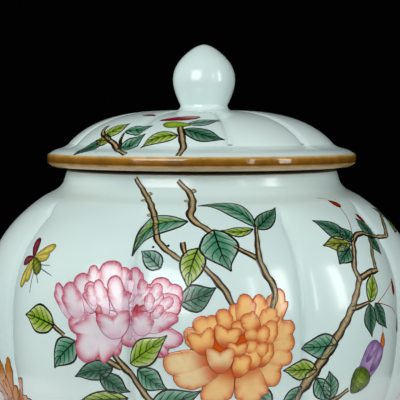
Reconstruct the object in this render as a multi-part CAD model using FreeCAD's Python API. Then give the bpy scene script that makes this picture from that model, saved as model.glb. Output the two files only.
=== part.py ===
"""Melon-lobed porcelain jar with a domed lid, the family that is sold as a ginger jar.

Frame: millimetres, +Z up, origin on the jar's axis at the plane that it stands on. The main painted face
looks along -Y, and azimuths are counted from there towards +X.

The jar is built as a potter builds it. A lower and an upper moulded half meet at the widest place, a thrown
neck is luted on the shoulder and a turned foot ring under the base. The lid is a lobed dome with a flat brim.
A low seat ring under the brim carries it, so a narrow gap runs round between the brim and the jar's lip. A
locating flange is luted under the seat ring, a bud-shaped knob on top, and a fired enamel band runs round the
brim's edge. The lid rests loose on the mouth and lifts straight off.
"""

import FreeCAD
import Part
import math
import os

# Driving dimensions of the jar
BELLY_R = 113.0          # crest of the lobes at the widest place
BELLY_Z = 93.0           # height of the widest place
SHOULDER_RISE = 79.5     # half height of the curve above the belly
SHOULDER_POWER = 2.6     # 2 is an ellipse, more is squarer
BASE_DROP = 100.0        # half height of the curve below the belly
BASE_POWER = 2.25
WALL = 4.8
BASE_Z = 7.0             # underside of the floor, inside the foot ring
FLOOR = 6.0
NECK_Z = 152.5           # where the neck is luted on the shoulder
MOUTH_Z = 166.1          # top of the neck, where the lid sits
NECK_TOP_R = 70.3
MOUTH_R = 65.5           # inside of the neck
NECK_INSIDE_RISE = 7.0   # height over which the neck's inside opens out to the shoulder
LIP_R = 1.2              # rounding of both edges of the lip
FOOT_R = 60.2
FOOT_IN_R = 51.0
FOOT_ROUND = 1.5

# The neck's outside from under the lip down: distance out from the lip, and height above the neck's foot
NECK_CURVE = [(0.9, 9.4), (2.1, 6.2), (5.1, 3.1)]

# Lobes: azimuth of each valley in degrees, three set by hand and then one every 40
VALLEYS = [-57.5, -17.0, 25.0] + [61.5 + 40.0 * k for k in range(6)]
VALLEY_DEPTH = 0.042     # share of the radius
VALLEY_FADE = 9.0        # height below the neck over which the valleys fade out
FOOT_FADE = 30.0         # height above the foot over which they fade out
LID_TURN = -13.5         # how far the lid is turned on its seat

# Driving dimensions of the lid, heights above the brim's underside
SEAT_R = 66.8            # outside of the seat ring
SEAT_RISE = 1.3          # height of the seat ring, and of the gap under the brim
LID_Z = MOUTH_Z + SEAT_RISE
DOME_R = 71.4
DOME_FOOT = 8.5
DOME_RISE = 20.4
DOME_POWER, DOME_ROUND = 3.55, 0.8
BRIM_R = 80.0
EDGE_ROUND = 3.6         # radius of the brim's rounded lower edge
EDGE_TOP = 5.0           # top of the upright land above the rounded edge
LAND_ROUND = 2.0         # radius of the rounding above the land
LAND_TURN = 50.0         # how far that rounding turns, in degrees, before the brim's top sweeps inwards
HOLLOW_R = 60.0
HOLLOW_RISE = 24.2
FLANGE_OUT_R, FLANGE_DROP = 64.2, 9.5
FLANGE_TIP = 1.4         # height of the flange's rounded lower edge
FLANGE_TAPER = 0.4
KNOB_SEAT_R = 19.0       # radius of the flat on top of the dome
KNOB_FOOT_R = 15.4
KNOB_WAIST_R = 12.3
KNOB_WAIST_RISE = 2.9    # height of the waist above the knob's foot
KNOB_TOP = 63.0
KNOB_SHIFT = 1.2         # the knob was luted on slightly off the axis
BAND = 0.3               # thickness of the fired band
BAND_TURN = 32.0         # how far the band goes round the rounded lower edge, in degrees

# The brim's top from its rounded edge in to the dome: distance in from the edge, and height
BRIM_SWEEP = [(3.7, 8.3), (7.7, 9.7), (10.7, 11.6)]

# The knob from its waist up: radius, and height above the waist
KNOB_BUD = [(14.25, 4.4), (15.75, 9.2), (16.2, 13.4), (14.9, 19.2), (11.8, 24.0), (7.2, 28.2), (4.0, 30.2)]


def smooth(t):
    t = max(0.0, min(1.0, t))
    return t * t * (3 - 2 * t)


def belly(z, inset=0.0):
    """Radius of the crest of the lobes at height z, or of the wall's inner face for an inset."""
    half, power = (SHOULDER_RISE, SHOULDER_POWER) if z > BELLY_Z else (BASE_DROP, BASE_POWER)
    return (BELLY_R - inset) * math.sqrt(1 - (abs(z - BELLY_Z) / (half - inset)) ** power)


def body_depth(z):
    """Depth of the valleys at height z, fading out at the neck and at the foot."""
    return VALLEY_DEPTH * smooth((NECK_Z - z) / VALLEY_FADE) * smooth((z - BASE_Z) / FOOT_FADE)


def dome_height(r):
    return DOME_FOOT + DOME_RISE * (1 - (r / DOME_R) ** DOME_POWER) ** DOME_ROUND


def hollow_height(r):
    return HOLLOW_RISE * (1 - (r / HOLLOW_R) ** DOME_POWER) ** DOME_ROUND


def dome_depth(r):
    """Depth of the lid's valleys at radius r, fading out at the brim and at the knob."""
    return VALLEY_DEPTH * smooth((DOME_R + 1 - r) / 5) * smooth((r - KNOB_SEAT_R) / 14)


def lobed_wire(r, depth, z, turn=0.0):
    """Closed horizontal outline of one arc for each lobe, from valley to valley through the crest."""
    def point(azimuth, radius):
        a = math.radians(azimuth + turn)
        return FreeCAD.Vector(radius * math.sin(a), -radius * math.cos(a), z)

    arcs = []
    for start, end in zip(VALLEYS, VALLEYS[1:] + [VALLEYS[0] + 360]):
        valley = r * (1 - depth)
        arc_here = Part.Arc(point(start, valley), point((start + end) / 2, r), point(end, valley))
        arcs.append(arc_here.toShape())
    return Part.Wire(arcs)


def turned(edges, x=0.0, z=0.0):
    """Solid turned from a closed outline in the XZ plane, then moved to its place."""
    face = Part.Face(Part.Wire(edges))
    solid = face.revolve(FreeCAD.Vector(0, 0, 0), FreeCAD.Vector(0, 0, 1), 360)
    solid.translate(FreeCAD.Vector(x, 0, z))
    return Part.makeSolid(solid) if solid.ShapeType != "Solid" else solid


def line(a, b):
    return Part.LineSegment(FreeCAD.Vector(a[0], 0, a[1]), FreeCAD.Vector(b[0], 0, b[1])).toShape()


def arc(a, middle, b):
    return Part.Arc(*(FreeCAD.Vector(p[0], 0, p[1]) for p in (a, middle, b))).toShape()


def on_circle(centre, radius, angle):
    """Point of a circle in the XZ plane, at an angle in degrees from outward towards up."""
    a = math.radians(angle)
    return (centre[0] + radius * math.cos(a), centre[1] + radius * math.sin(a))


def corner(centre, radius, start, end):
    """Arc of a rounded corner, from one angle to another."""
    return arc(*(on_circle(centre, radius, angle) for angle in (start, (start + end) / 2, end)))


def curve(points):
    spline = Part.BSplineCurve()
    spline.interpolate([FreeCAD.Vector(p[0], 0, p[1]) for p in points])
    return spline.toShape()


def body_halves():
    """The lobed shell, cut at the widest place into its lower and upper half."""
    rise, drop = NECK_Z - BELLY_Z, BELLY_Z - BASE_Z
    heights = [BELLY_Z - drop * s for s in (1, 0.96, 0.88, 0.77, 0.62, 0.42, 0.2)] + [BELLY_Z]
    heights += [BELLY_Z + rise * s for s in (0.22, 0.43, 0.61, 0.75, 0.86, 0.94, 1)]
    outer = Part.makeLoft([lobed_wire(belly(z), body_depth(z), z) for z in heights], True)

    floor = BASE_Z + FLOOR
    inside = [floor + (z - BASE_Z) * (NECK_Z - floor) / (NECK_Z - BASE_Z) for z in heights]
    hollow = Part.makeLoft([lobed_wire(belly(z, WALL), body_depth(z), z) for z in inside], True)
    shell = outer.cut(hollow)
    size = 3 * BELLY_R
    below = Part.makeBox(size, size, size, FreeCAD.Vector(-size / 2, -size / 2, BELLY_Z - size))
    return shell.common(below), shell.cut(below)


def neck():
    """Thrown collar: it springs from the shoulder in a hollow curve and ends in a rounded lip."""
    foot, foot_in = belly(NECK_Z), belly(NECK_Z, WALL)
    knee_in = NECK_Z + NECK_INSIDE_RISE
    bend_in = (MOUTH_R + 0.25 * (foot_in - MOUTH_R), NECK_Z + 0.4 * NECK_INSIDE_RISE)
    under_lip = MOUTH_Z - LIP_R
    outside = [(NECK_TOP_R, under_lip)] + [(NECK_TOP_R + out, NECK_Z + up) for out, up in NECK_CURVE]
    return turned([
        line((foot_in, NECK_Z), (foot, NECK_Z)),
        curve(outside + [(foot, NECK_Z)]),
        corner((NECK_TOP_R - LIP_R, under_lip), LIP_R, 0, 90),
        line((NECK_TOP_R - LIP_R, MOUTH_Z), (MOUTH_R + LIP_R, MOUTH_Z)),
        corner((MOUTH_R + LIP_R, under_lip), LIP_R, 90, 180),
        line((MOUTH_R, under_lip), (MOUTH_R, knee_in)),
        arc((MOUTH_R, knee_in), bend_in, (foot_in, NECK_Z)),
    ])


def foot_ring():
    """Turned ring under the base, leaning in a little towards the ground, with rounded edges."""
    top_r = belly(BASE_Z)
    return turned([
        line((FOOT_IN_R + FOOT_ROUND, 0), (FOOT_R - FOOT_ROUND, 0)),
        corner((FOOT_R - FOOT_ROUND, FOOT_ROUND), FOOT_ROUND, -90, 0),
        line((FOOT_R, FOOT_ROUND), (top_r, BASE_Z)),
        line((top_r, BASE_Z), (FOOT_IN_R, BASE_Z)),
        line((FOOT_IN_R, BASE_Z), (FOOT_IN_R, FOOT_ROUND)),
        corner((FOOT_IN_R + FOOT_ROUND, FOOT_ROUND), FOOT_ROUND, 180, 270),
    ])


def brim():
    """Flat brim on its seat ring: a rounded edge, an upright land and a top that sweeps up into the dome."""
    inner = HOLLOW_R - 10
    edge = BRIM_R - EDGE_ROUND
    above = (BRIM_R - LAND_ROUND, EDGE_TOP)
    sweep = [on_circle(above, LAND_ROUND, LAND_TURN)]
    sweep += [(BRIM_R - inward, up) for inward, up in BRIM_SWEEP]
    return turned([
        line((inner, -SEAT_RISE), (SEAT_R, -SEAT_RISE)),
        line((SEAT_R, -SEAT_RISE), (SEAT_R, 0)),
        line((SEAT_R, 0), (edge, 0)),
        corner((edge, EDGE_ROUND), EDGE_ROUND, -90, 0),
        line((BRIM_R, EDGE_ROUND), (BRIM_R, EDGE_TOP)),
        corner(above, LAND_ROUND, 0, LAND_TURN),
        curve(sweep),
        line(sweep[-1], (inner, sweep[-1][1])),
        line((inner, sweep[-1][1]), (inner, -SEAT_RISE)),
    ], z=LID_Z)


def lid_dome():
    """Lobed dome with its flat brim, hollow underneath."""
    share = (0.999, 0.989, 0.964, 0.922, 0.861, 0.777, 0.665, 0.532, 0.392)
    radii = [DOME_R * s for s in share] + [KNOB_SEAT_R]
    wires = [lobed_wire(r, dome_depth(r), LID_Z + dome_height(r), LID_TURN) for r in radii]
    dome = Part.makeLoft(wires, True).fuse(brim()).removeSplitter()

    steps = (0, 0.2, 0.4, 0.58, 0.74, 0.87, 0.96, 0.99)
    roof = [(HOLLOW_R * s, hollow_height(HOLLOW_R * s)) for s in steps] + [(HOLLOW_R, 0)]
    hollow = turned([curve(roof), line((HOLLOW_R, 0), (0, 0)), line((0, 0), (0, HOLLOW_RISE))], z=LID_Z)
    well = Part.makeCylinder(HOLLOW_R, 2 * SEAT_RISE, FreeCAD.Vector(0, 0, LID_Z - 2 * SEAT_RISE))
    return dome.cut(hollow).cut(well)


def lid_flange():
    """Ring under the seat ring that keeps the lid centred in the mouth."""
    tip = FLANGE_TIP - FLANGE_DROP
    outer, inner = FLANGE_OUT_R - FLANGE_TAPER, HOLLOW_R + FLANGE_TAPER
    return turned([
        line((HOLLOW_R, 0), (FLANGE_OUT_R, 0)),
        line((FLANGE_OUT_R, 0), (outer, tip)),
        arc((outer, tip), ((outer + inner) / 2, -FLANGE_DROP), (inner, tip)),
        line((inner, tip), (HOLLOW_R, 0)),
    ], z=MOUTH_Z)


def lid_knob():
    """Solid bud: a flared foot, a waist, a full body and a rounded point."""
    foot = dome_height(KNOB_SEAT_R)
    waist = foot + KNOB_WAIST_RISE
    flare = (KNOB_WAIST_R + 0.7, foot + 0.3 * KNOB_WAIST_RISE)
    bud = [(r, waist + up) for r, up in KNOB_BUD]
    return turned([
        line((0, foot), (KNOB_FOOT_R, foot)),
        arc((KNOB_FOOT_R, foot), flare, (KNOB_WAIST_R, waist)),
        curve([(KNOB_WAIST_R, waist)] + bud + [(0, KNOB_TOP)]),
        line((0, KNOB_TOP), (0, foot)),
    ], x=KNOB_SHIFT, z=LID_Z)


def lid_edge_band():
    """Thin enamel skin over the brim's edge, from the rounding above the land to the one below it."""
    above = (BRIM_R - LAND_ROUND, EDGE_TOP)
    below = (BRIM_R - EDGE_ROUND, EDGE_ROUND)
    outer = BRIM_R + BAND
    return turned([
        corner(above, LAND_ROUND + BAND, LAND_TURN, 0),
        line((outer, EDGE_TOP), (outer, EDGE_ROUND)),
        corner(below, EDGE_ROUND + BAND, 0, -BAND_TURN),
        line(on_circle(below, EDGE_ROUND + BAND, -BAND_TURN), on_circle(below, EDGE_ROUND, -BAND_TURN)),
        corner(below, EDGE_ROUND, -BAND_TURN, 0),
        line((BRIM_R, EDGE_ROUND), (BRIM_R, EDGE_TOP)),
        corner(above, LAND_ROUND, 0, LAND_TURN),
        line(on_circle(above, LAND_ROUND, LAND_TURN), on_circle(above, LAND_ROUND + BAND, LAND_TURN)),
    ], z=LID_Z)


def main():
    os.makedirs("parts", exist_ok=True)
    lower, upper = body_halves()
    nodes = {
        "jar_lower_body": lower,
        "jar_upper_body": upper,
        "jar_neck": neck(),
        "foot_ring": foot_ring(),
        "lid_dome": lid_dome(),
        "lid_flange": lid_flange(),
        "lid_knob": lid_knob(),
        "lid_edge_band": lid_edge_band(),
    }
    for name, shape in nodes.items():
        solids, volume = len(shape.Solids), shape.Volume / 1000
        print(f"{name:16s} {solids} solid, valid {shape.isValid()}, {volume:8.2f} cm3")
        shape.exportStep(os.path.join("parts", name + ".step"))


main()
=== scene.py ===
"""Looks of the covered jar: a lobed porcelain body and lid under a bluish-white glaze, painted in enamels.

Lengths are in millimetres on the jar's own axes, +Z up, and are turned into metres only when a mesh is made.
A place on the painted skin is (azimuth, way): degrees from the front towards +X, and millimetres along the
skin, counted down from the mouth on the body and out from the centre on the lid.
"""

import bpy
import math
import numpy as np
import random
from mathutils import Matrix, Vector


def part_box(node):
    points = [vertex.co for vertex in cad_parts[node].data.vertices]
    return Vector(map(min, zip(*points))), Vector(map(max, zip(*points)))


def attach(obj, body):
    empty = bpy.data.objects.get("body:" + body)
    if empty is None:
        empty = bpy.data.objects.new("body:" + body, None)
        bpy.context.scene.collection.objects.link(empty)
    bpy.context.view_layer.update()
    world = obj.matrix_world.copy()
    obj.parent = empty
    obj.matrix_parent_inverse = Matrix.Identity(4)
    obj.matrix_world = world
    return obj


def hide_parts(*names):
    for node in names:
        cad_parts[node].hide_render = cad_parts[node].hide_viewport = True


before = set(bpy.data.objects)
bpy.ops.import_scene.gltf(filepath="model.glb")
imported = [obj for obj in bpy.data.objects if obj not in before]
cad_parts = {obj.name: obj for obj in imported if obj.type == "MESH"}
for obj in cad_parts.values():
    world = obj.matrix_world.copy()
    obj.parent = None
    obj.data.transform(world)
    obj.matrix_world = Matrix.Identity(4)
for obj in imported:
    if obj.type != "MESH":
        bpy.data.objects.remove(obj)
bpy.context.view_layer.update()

MM = 0.001
MOUTH_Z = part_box("jar_neck")[1][2] / MM
NECK_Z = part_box("jar_neck")[0][2] / MM
BASE_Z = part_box("foot_ring")[1][2] / MM
BELLY_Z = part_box("jar_lower_body")[1][2] / MM
NECK_TOP_R = 70.3
MOUTH_R = 65.5
LIP_R = 1.2
NECK_CURVE = [(0.9, 9.4), (2.1, 6.2), (5.1, 3.1)]

# The skin lies a little inside the CAD, so that the raised enamels stay within its box
SKIN = 0.5
BELLY_R = 113.0 - SKIN
SHOULDER_RISE, SHOULDER_POWER = 79.5 - SKIN, 2.6
BASE_DROP, BASE_POWER = 100.0 - SKIN, 2.25
WALL, FLOOR_THICKNESS = 4.8, 6.0
FLOOR_Z = BASE_Z + FLOOR_THICKNESS
COLLAR_RISE, COLLAR_POWER = 7.0, 2.5  # the curve of the neck's inner face

FRONT_VALLEYS = [-57.5, -17.0, 25.0]  # azimuths of the valleys between the lobes at the front
NEXT_VALLEY, LOBE_TURN = 61.5, 40.0   # the first valley past them, and the turn to each one after it
VALLEYS = FRONT_VALLEYS + [NEXT_VALLEY + LOBE_TURN * k for k in range(6)]
VALLEY_DEPTH = 0.042                  # depth of a valley, for each unit of the crest's radius
NECK_FADE, BASE_FADE = 9.0, 30.0      # heights over which the valleys die out under neck and over base
LID_TURN = -13.5                      # how far the lid's valleys are turned from the body's
DOME_START, START_FADE = 15.0, 16.0   # radius where the dome's valleys start, and their way to full depth
DOME_END, END_FADE = 5.5, 6.0         # how far inside the brim's edge they end, and their fading before it
CREASE = 2.0                          # half width of the narrow groove along each valley
CREASE_CUT = 23.0                     # depth of that groove, for each unit of valley depth
RINGS, POINTS_PER_LOBE = 110, 34
CROWDING = 0.75                       # how strongly a lobe's points crowd towards its valleys

SEAT_R, SEAT_RISE = 66.8, 1.3
LID_Z = MOUTH_Z + SEAT_RISE
BRIM_R = 80.0
EDGE_ROUND, EDGE_TOP = 3.6, 5.0
LAND_ROUND, LAND_TURN = 2.0, 50.0     # rounding over the brim's upright edge, and how far round it turns
BRIM_SWEEP = [(3.7, 8.3), (7.7, 9.7), (10.2, 11.2)]
DOME_R, DOME_FOOT, DOME_RISE, DOME_POWER, DOME_ROUND = 71.4, 8.5, 20.4, 3.55, 0.8
DOME_OUT = 69.0                       # radius at which the dome's curve hands over to the brim's sweep
HOLLOW_R, HOLLOW_RISE, HOLLOW_SPREAD = 60.0, 24.2, 0.6


# ------------------------------ skins

def smooth(t):
    t = np.clip(t, 0.0, 1.0)
    return t * t * (3 - 2 * t)


def through(points):
    """Points along a smooth curve that passes through the given ones."""
    steps = 8
    p = np.array([points[0]] + list(points) + [points[-1]], float)
    rows = []
    for a, b, c, d in zip(p, p[1:], p[2:], p[3:]):
        for t in np.arange(steps) / steps:
            rows.append(0.5 * (2 * b + (c - a) * t + (2 * a - 5 * b + 4 * c - d) * t * t
                               + (3 * b - a - 3 * c + d) * t ** 3))
    rows.append(p[-1])
    return [tuple(row) for row in rows]


def belly(z, inset=0.0):
    """Radius of the lobes' crest at height z, or of the wall's inner face for an inset."""
    half, power = (SHOULDER_RISE, SHOULDER_POWER) if z > BELLY_Z else (BASE_DROP, BASE_POWER)
    return (BELLY_R - inset) * math.sqrt(1 - (abs(z - BELLY_Z) / (half - inset)) ** power)


def body_depth(r, z):
    """Valley depth on the body, for each unit of the crest's radius."""
    return VALLEY_DEPTH * smooth((NECK_Z - z) / NECK_FADE) * smooth((z - BASE_Z) / BASE_FADE)


def dome_height(r):
    return LID_Z + DOME_FOOT + DOME_RISE * (1 - min(r / DOME_R, 1.0) ** DOME_POWER) ** DOME_ROUND


def dome_depth(r, z):
    """Valley depth on the dome, for each unit of the crest's radius."""
    return VALLEY_DEPTH * smooth((BRIM_R - DOME_END - r) / END_FADE) * smooth((r - DOME_START) / START_FADE)


def lobe_radius(azimuth, crest, depth, turn):
    """Radius at an azimuth, where each lobe is an arc from valley to valley, and the groove's depth there."""
    edges = np.array(VALLEYS + [VALLEYS[0] + 360]) + turn
    a = (azimuth - edges[0]) % 360 + edges[0]
    i = np.clip(np.searchsorted(edges, a, side="right") - 1, 0, len(VALLEYS) - 1)
    off = np.radians(a - (edges[i] + edges[i + 1]) / 2)
    half = np.radians(edges[i + 1] - edges[i]) / 2
    valley = crest * (1 - depth)
    centre = (crest ** 2 - valley ** 2) / (2 * np.maximum(crest - valley * np.cos(half), 1e-9))
    arc = crest - centre
    r = centre * np.cos(off) + np.sqrt(np.maximum(arc ** 2 - (centre * np.sin(off)) ** 2, 0.0))
    crease = crest * (half - np.abs(off)) / CREASE
    return r, CREASE_CUT * depth * np.exp(-crease ** 2)


def normals(r, z):
    """Unit normals of a meridian, pointing out of the glaze."""
    along = np.stack([np.gradient(r), np.gradient(z)], -1)
    along /= np.maximum(np.linalg.norm(along, axis=1, keepdims=True), 1e-9)
    return -along[:, 1], along[:, 0]


def on_lobes(azimuth, crest, z, depth, out, up, turn):
    """Points of a lobed surface: crest radius, height, valley depth, and the meridian's normal there."""
    radius, groove = lobe_radius(azimuth, crest, depth, turn)
    radius = radius - groove * out
    a = np.radians(azimuth)
    return np.stack([radius * np.sin(a), -radius * np.cos(a), z - groove * up], -1)


class Skin:
    """A painted surface: a meridian of (radius, height) points, and the lobes on it."""

    def __init__(self, meridian, depth, turn=0.0):
        self.r, self.z = np.array(meridian, float).T
        self.way = np.concatenate([[0.0], np.cumsum(np.hypot(np.diff(self.r), np.diff(self.z)))])
        self.out, self.up = normals(self.r, self.z)
        self.depth = depth
        self.turn = turn

    def crest(self, way):
        return np.interp(way, self.way, self.r)

    def place(self, azimuth, way):
        r, z, out, up = (np.interp(way, self.way, row) for row in (self.r, self.z, self.out, self.up))
        return on_lobes(azimuth, r, z, self.depth(r, z), out, up, self.turn)

    def lifted(self, azimuth, way, lift):
        """Points that stand off the skin by lift, along its normal."""
        here = self.place(azimuth, way)
        step = 0.25
        across = self.place(azimuth + step, way) - self.place(azimuth - step, way)
        along = self.place(azimuth, way + step) - self.place(azimuth, way - step)
        normal = np.cross(along, across)
        outward = np.sum(normal * (here - [0, 0, BELLY_Z]), -1, keepdims=True)
        normal = normal * np.where(outward < 0, -1.0, 1.0)
        normal /= np.linalg.norm(normal, axis=-1, keepdims=True)
        return here + normal * np.asarray(lift)[..., None]


def neck_and_body():
    """The outside of the jar, from the lip down to the foot ring."""
    lip = [(NECK_TOP_R - LIP_R * (1 - math.cos(a)), MOUTH_Z - LIP_R * (1 - math.sin(a)))
           for a in np.radians((90, 60, 30, 0))]
    curve = [(NECK_TOP_R + out, NECK_Z + up) for out, up in NECK_CURVE]
    collar = through(lip + curve + [(belly(NECK_Z), NECK_Z)])
    shell = [(belly(z), z) for z in np.linspace(NECK_Z, BASE_Z, RINGS)]
    return collar + shell[1:]


def dome_and_brim():
    """The outside of the lid, from its centre out to the brim's edge."""
    dome = [(r, dome_height(r)) for r in np.linspace(0, DOME_OUT, 70)]
    rounding = [(BRIM_R - LAND_ROUND * (1 - math.cos(a)), LID_Z + EDGE_TOP + LAND_ROUND * math.sin(a))
                for a in np.radians(np.linspace(0, LAND_TURN, 6))]
    sweep = [(BRIM_R - inward, LID_Z + up) for inward, up in BRIM_SWEEP]
    return dome + through([dome[-1]] + sweep[::-1] + [rounding[-1]])[1:] + rounding[-2::-1]


body = Skin(neck_and_body(), body_depth)
cover = Skin(dome_and_brim(), dome_depth, LID_TURN)


# ------------------------------ meshes

def new_mesh(name, points, faces, rides, material, colours=None):
    """A smooth mesh from points in millimetres that rides a body, with a colour per point if painted."""
    mesh = bpy.data.meshes.new(name)
    mesh.from_pydata([tuple(p) for p in np.asarray(points) * MM], [], faces)
    mesh.validate()
    mesh.polygons.foreach_set("use_smooth", [True] * len(mesh.polygons))
    if colours is not None:
        layer = mesh.color_attributes.new("paint", "FLOAT_COLOR", "POINT")
        layer.data.foreach_set("color", np.asarray(colours, float).ravel())
    piece = bpy.data.objects.new(name, mesh)
    bpy.context.scene.collection.objects.link(piece)
    mesh.materials.append(material)
    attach(piece, rides)
    return piece


def azimuths(turn):
    """Azimuths round the jar, closer together near each valley."""
    edges = [v + turn for v in VALLEYS] + [VALLEYS[0] + 360 + turn]
    rows = []
    for a, b in zip(edges, edges[1:]):
        t = np.arange(POINTS_PER_LOBE) / POINTS_PER_LOBE
        rows.append(a + (b - a) * (t - CROWDING * np.sin(2 * np.pi * t) / (2 * np.pi)))
    return np.concatenate(rows)


def lobed_shell(name, outline, depth, turn, rides, material):
    """Closed surface swept round the axis from an outline of (radius, height) that starts and ends on it."""
    around = azimuths(turn)
    n = len(around)
    points, faces = [], []
    r, z = np.array(outline[1:-1], float).T
    for ring_r, ring_z, out, up in zip(r, z, *normals(r, z)):
        points += list(on_lobes(around, np.full(n, ring_r), ring_z, depth(ring_r, ring_z), out, up, turn))
    for k in range(len(r) - 1):
        for i in range(n):
            j = (i + 1) % n
            faces.append((k * n + i, k * n + j, (k + 1) * n + j, (k + 1) * n + i))
    first, last = len(points), len(points) + 1
    points += [np.array([0, 0, outline[0][1]]), np.array([0, 0, outline[-1][1]])]
    end = (len(r) - 1) * n
    for i in range(n):
        j = (i + 1) % n
        faces.append((first, j, i))
        faces.append((last, end + i, end + j))
    return new_mesh(name, points, faces, rides, material)


# ------------------------------ materials

GREY_GLAZE, WHITE_GLAZE = (0.49, 0.62, 0.60), (0.55, 0.665, 0.64)
# The mouth's rim is dark brown, deepened into painted shade of the gap under the lid's brim
MOUTH_BROWN_AND_SHADE, MOUTH_BAND = (0.10, 0.045, 0.02), 1.1       # colour of the mouth's rim, and its height
UNDERSIDE_TAN, UNDERSIDE_TOP = (0.52, 0.36, 0.19), 2.6   # colour under the brim, and how far up its edge
# Near-black painted shade on the lid's seat ring, where it shows through the gap above the mouth
SEAT_PAINTED_SHADE = (0.05, 0.025, 0.012)
IRON_CLAY, SAND_CLAY, PALE_CLAY = (0.56, 0.43, 0.29), (0.70, 0.60, 0.46), (0.76, 0.69, 0.58)

# Colours of the edge band from its lower edge up: a place on its height, and the colour there. The band is
# painted lighter towards its top edge as a painted highlight, and darkest low down as painted shade.
AMBER_LIT_AND_SHADED = [(0.0, (0.50, 0.33, 0.15)), (0.12, (0.42, 0.25, 0.09)), (0.24, (0.14, 0.06, 0.007)),
         (0.5, (0.20, 0.086, 0.009)), (0.72, (0.29, 0.135, 0.015)), (0.86, (0.42, 0.25, 0.06)),
         (1.0, (0.56, 0.44, 0.27))]


# Sockets of a colour mix node: what it takes in, and what it gives out
MIX_SHARE, MIX_FIRST, MIX_SECOND, MIX_RESULT = 0, 6, 7, 2


def new_material(name):
    material = bpy.data.materials.new(name)
    material.use_nodes = True
    tree = material.node_tree
    return material, tree, tree.nodes["Principled BSDF"]


def node(tree, kind, **settings):
    made = tree.nodes.new(kind)
    for key, value in settings.items():
        if key in made.inputs:
            made.inputs[key].default_value = value
        else:
            setattr(made, key, value)
    return made


def noise(tree, scale, detail=3.0):
    """Noise in object space; the scale is the size of one blotch in millimetres."""
    place = node(tree, "ShaderNodeTexCoord")
    made = node(tree, "ShaderNodeTexNoise", Scale=1000.0 / scale, Detail=detail)
    tree.links.new(place.outputs["Object"], made.inputs["Vector"])
    return made


def ramp(tree, source, stops):
    made = tree.nodes.new("ShaderNodeValToRGB")
    while len(made.color_ramp.elements) < len(stops):
        made.color_ramp.elements.new(0.5)
    for element, (position, colour) in zip(made.color_ramp.elements, stops):
        element.position = position
        element.color = (*colour, 1.0)
    tree.links.new(source, made.inputs["Fac"])
    return made


def bump(tree, shader, height, distance, strength=1.0):
    """Fine relief from a height; the distance is in metres."""
    made = node(tree, "ShaderNodeBump", Distance=distance, Strength=strength)
    tree.links.new(height, made.inputs["Height"])
    tree.links.new(made.outputs["Normal"], shader.inputs["Normal"])


def mixed_into(tree, shader, colour, share):
    """Multiplies two colours, and makes the product the shader's base colour."""
    mix = node(tree, "ShaderNodeMix", data_type="RGBA", blend_type="MULTIPLY")
    mix.inputs[MIX_SHARE].default_value = 1.0
    tree.links.new(colour, mix.inputs[MIX_FIRST])
    tree.links.new(share, mix.inputs[MIX_SECOND])
    tree.links.new(mix.outputs[MIX_RESULT], shader.inputs["Base Color"])


def glaze_material(name, colour_bands):
    """Thick bluish-white glaze: faint clouds of colour and slow ripples under a gloss.

    Each colour band is a height in millimetres, the rise over which it comes in, and its colour. It colours
    all that is above the height, or all that is below it when the rise is negative. The bands paint a tan
    underside, and the dark mouth rim and seat ring, whose darkness is painted shade of the gap between lid
    and mouth.
    """
    material, tree, shader = new_material(name)
    clouds = noise(tree, 55.0, 2.0)
    colour = ramp(tree, clouds.outputs["Fac"], [(0.3, GREY_GLAZE), (0.7, WHITE_GLAZE)])
    paint = colour.outputs["Color"]
    place = node(tree, "ShaderNodeTexCoord")
    axes = tree.nodes.new("ShaderNodeSeparateXYZ")
    tree.links.new(place.outputs["Object"], axes.inputs["Vector"])
    for height, rise, band_colour in colour_bands:
        share = tree.nodes.new("ShaderNodeMapRange")
        share.inputs["From Min"].default_value = height * MM
        share.inputs["From Max"].default_value = (height + rise) * MM
        tree.links.new(axes.outputs["Z"], share.inputs["Value"])
        mix = node(tree, "ShaderNodeMix", data_type="RGBA")
        mix.inputs[MIX_SECOND].default_value = (*band_colour, 1.0)
        tree.links.new(share.outputs["Result"], mix.inputs[MIX_SHARE])
        tree.links.new(paint, mix.inputs[MIX_FIRST])
        paint = mix.outputs[MIX_RESULT]
    tree.links.new(paint, shader.inputs["Base Color"])
    gloss = ramp(tree, noise(tree, 24.0).outputs["Fac"], [(0.3, (0.18,) * 3), (0.7, (0.24,) * 3)])
    tree.links.new(gloss.outputs["Color"], shader.inputs["Roughness"])
    shader.inputs["IOR"].default_value = 1.52
    shader.inputs["Coat Weight"].default_value = 0.4
    shader.inputs["Coat Roughness"].default_value = 0.1
    bump(tree, shader, noise(tree, 13.0, 1.0).outputs["Fac"], 0.0003, 0.5)
    return material


def biscuit_material():
    """Bare fired clay of the foot ring and the lid's flange: sandy, dry, with iron-brown blotches."""
    material, tree, shader = new_material("bare_biscuit")
    grain = noise(tree, 1.6, 6.0)
    colour = ramp(tree, noise(tree, 14.0, 4.0).outputs["Fac"],
                  [(0.3, IRON_CLAY), (0.55, SAND_CLAY), (0.75, PALE_CLAY)])
    tree.links.new(colour.outputs["Color"], shader.inputs["Base Color"])
    shader.inputs["Roughness"].default_value = 0.8
    bump(tree, shader, grain.outputs["Fac"], 0.0002)
    return material


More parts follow.
